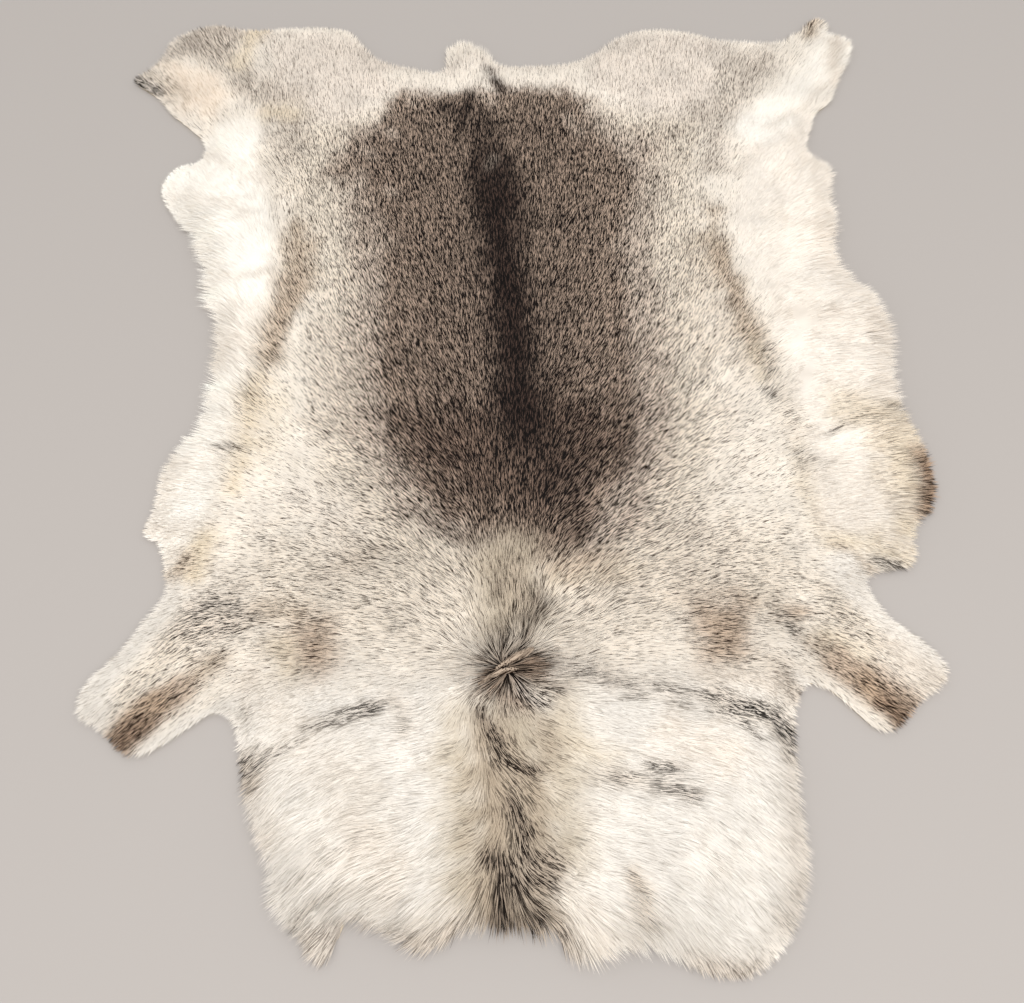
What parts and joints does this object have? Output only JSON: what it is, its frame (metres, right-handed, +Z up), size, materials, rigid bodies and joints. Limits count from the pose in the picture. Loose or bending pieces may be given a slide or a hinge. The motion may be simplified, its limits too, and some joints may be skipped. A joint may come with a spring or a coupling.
{
  "type": "reindeer hide",
  "caption": "Tanned reindeer hide with its fur, laid flat: saddle-marked back, pale belly, legs, tail and long neck mane.",
  "frame": {"origin": "middle of the hide's outline on the plane that it lies on", "axes": "+Z up out of the fur, +Y along the back from the neck to the tail, +X to the right of that"},
  "size_m": [1.047, 1.296, 0.0436],
  "materials": {
    "fur": "long dense animal hair on a tanned skin, matt"
  },
  "bodies": {
    "root": {"hide": "fur"}
  },
  "joints": []
}
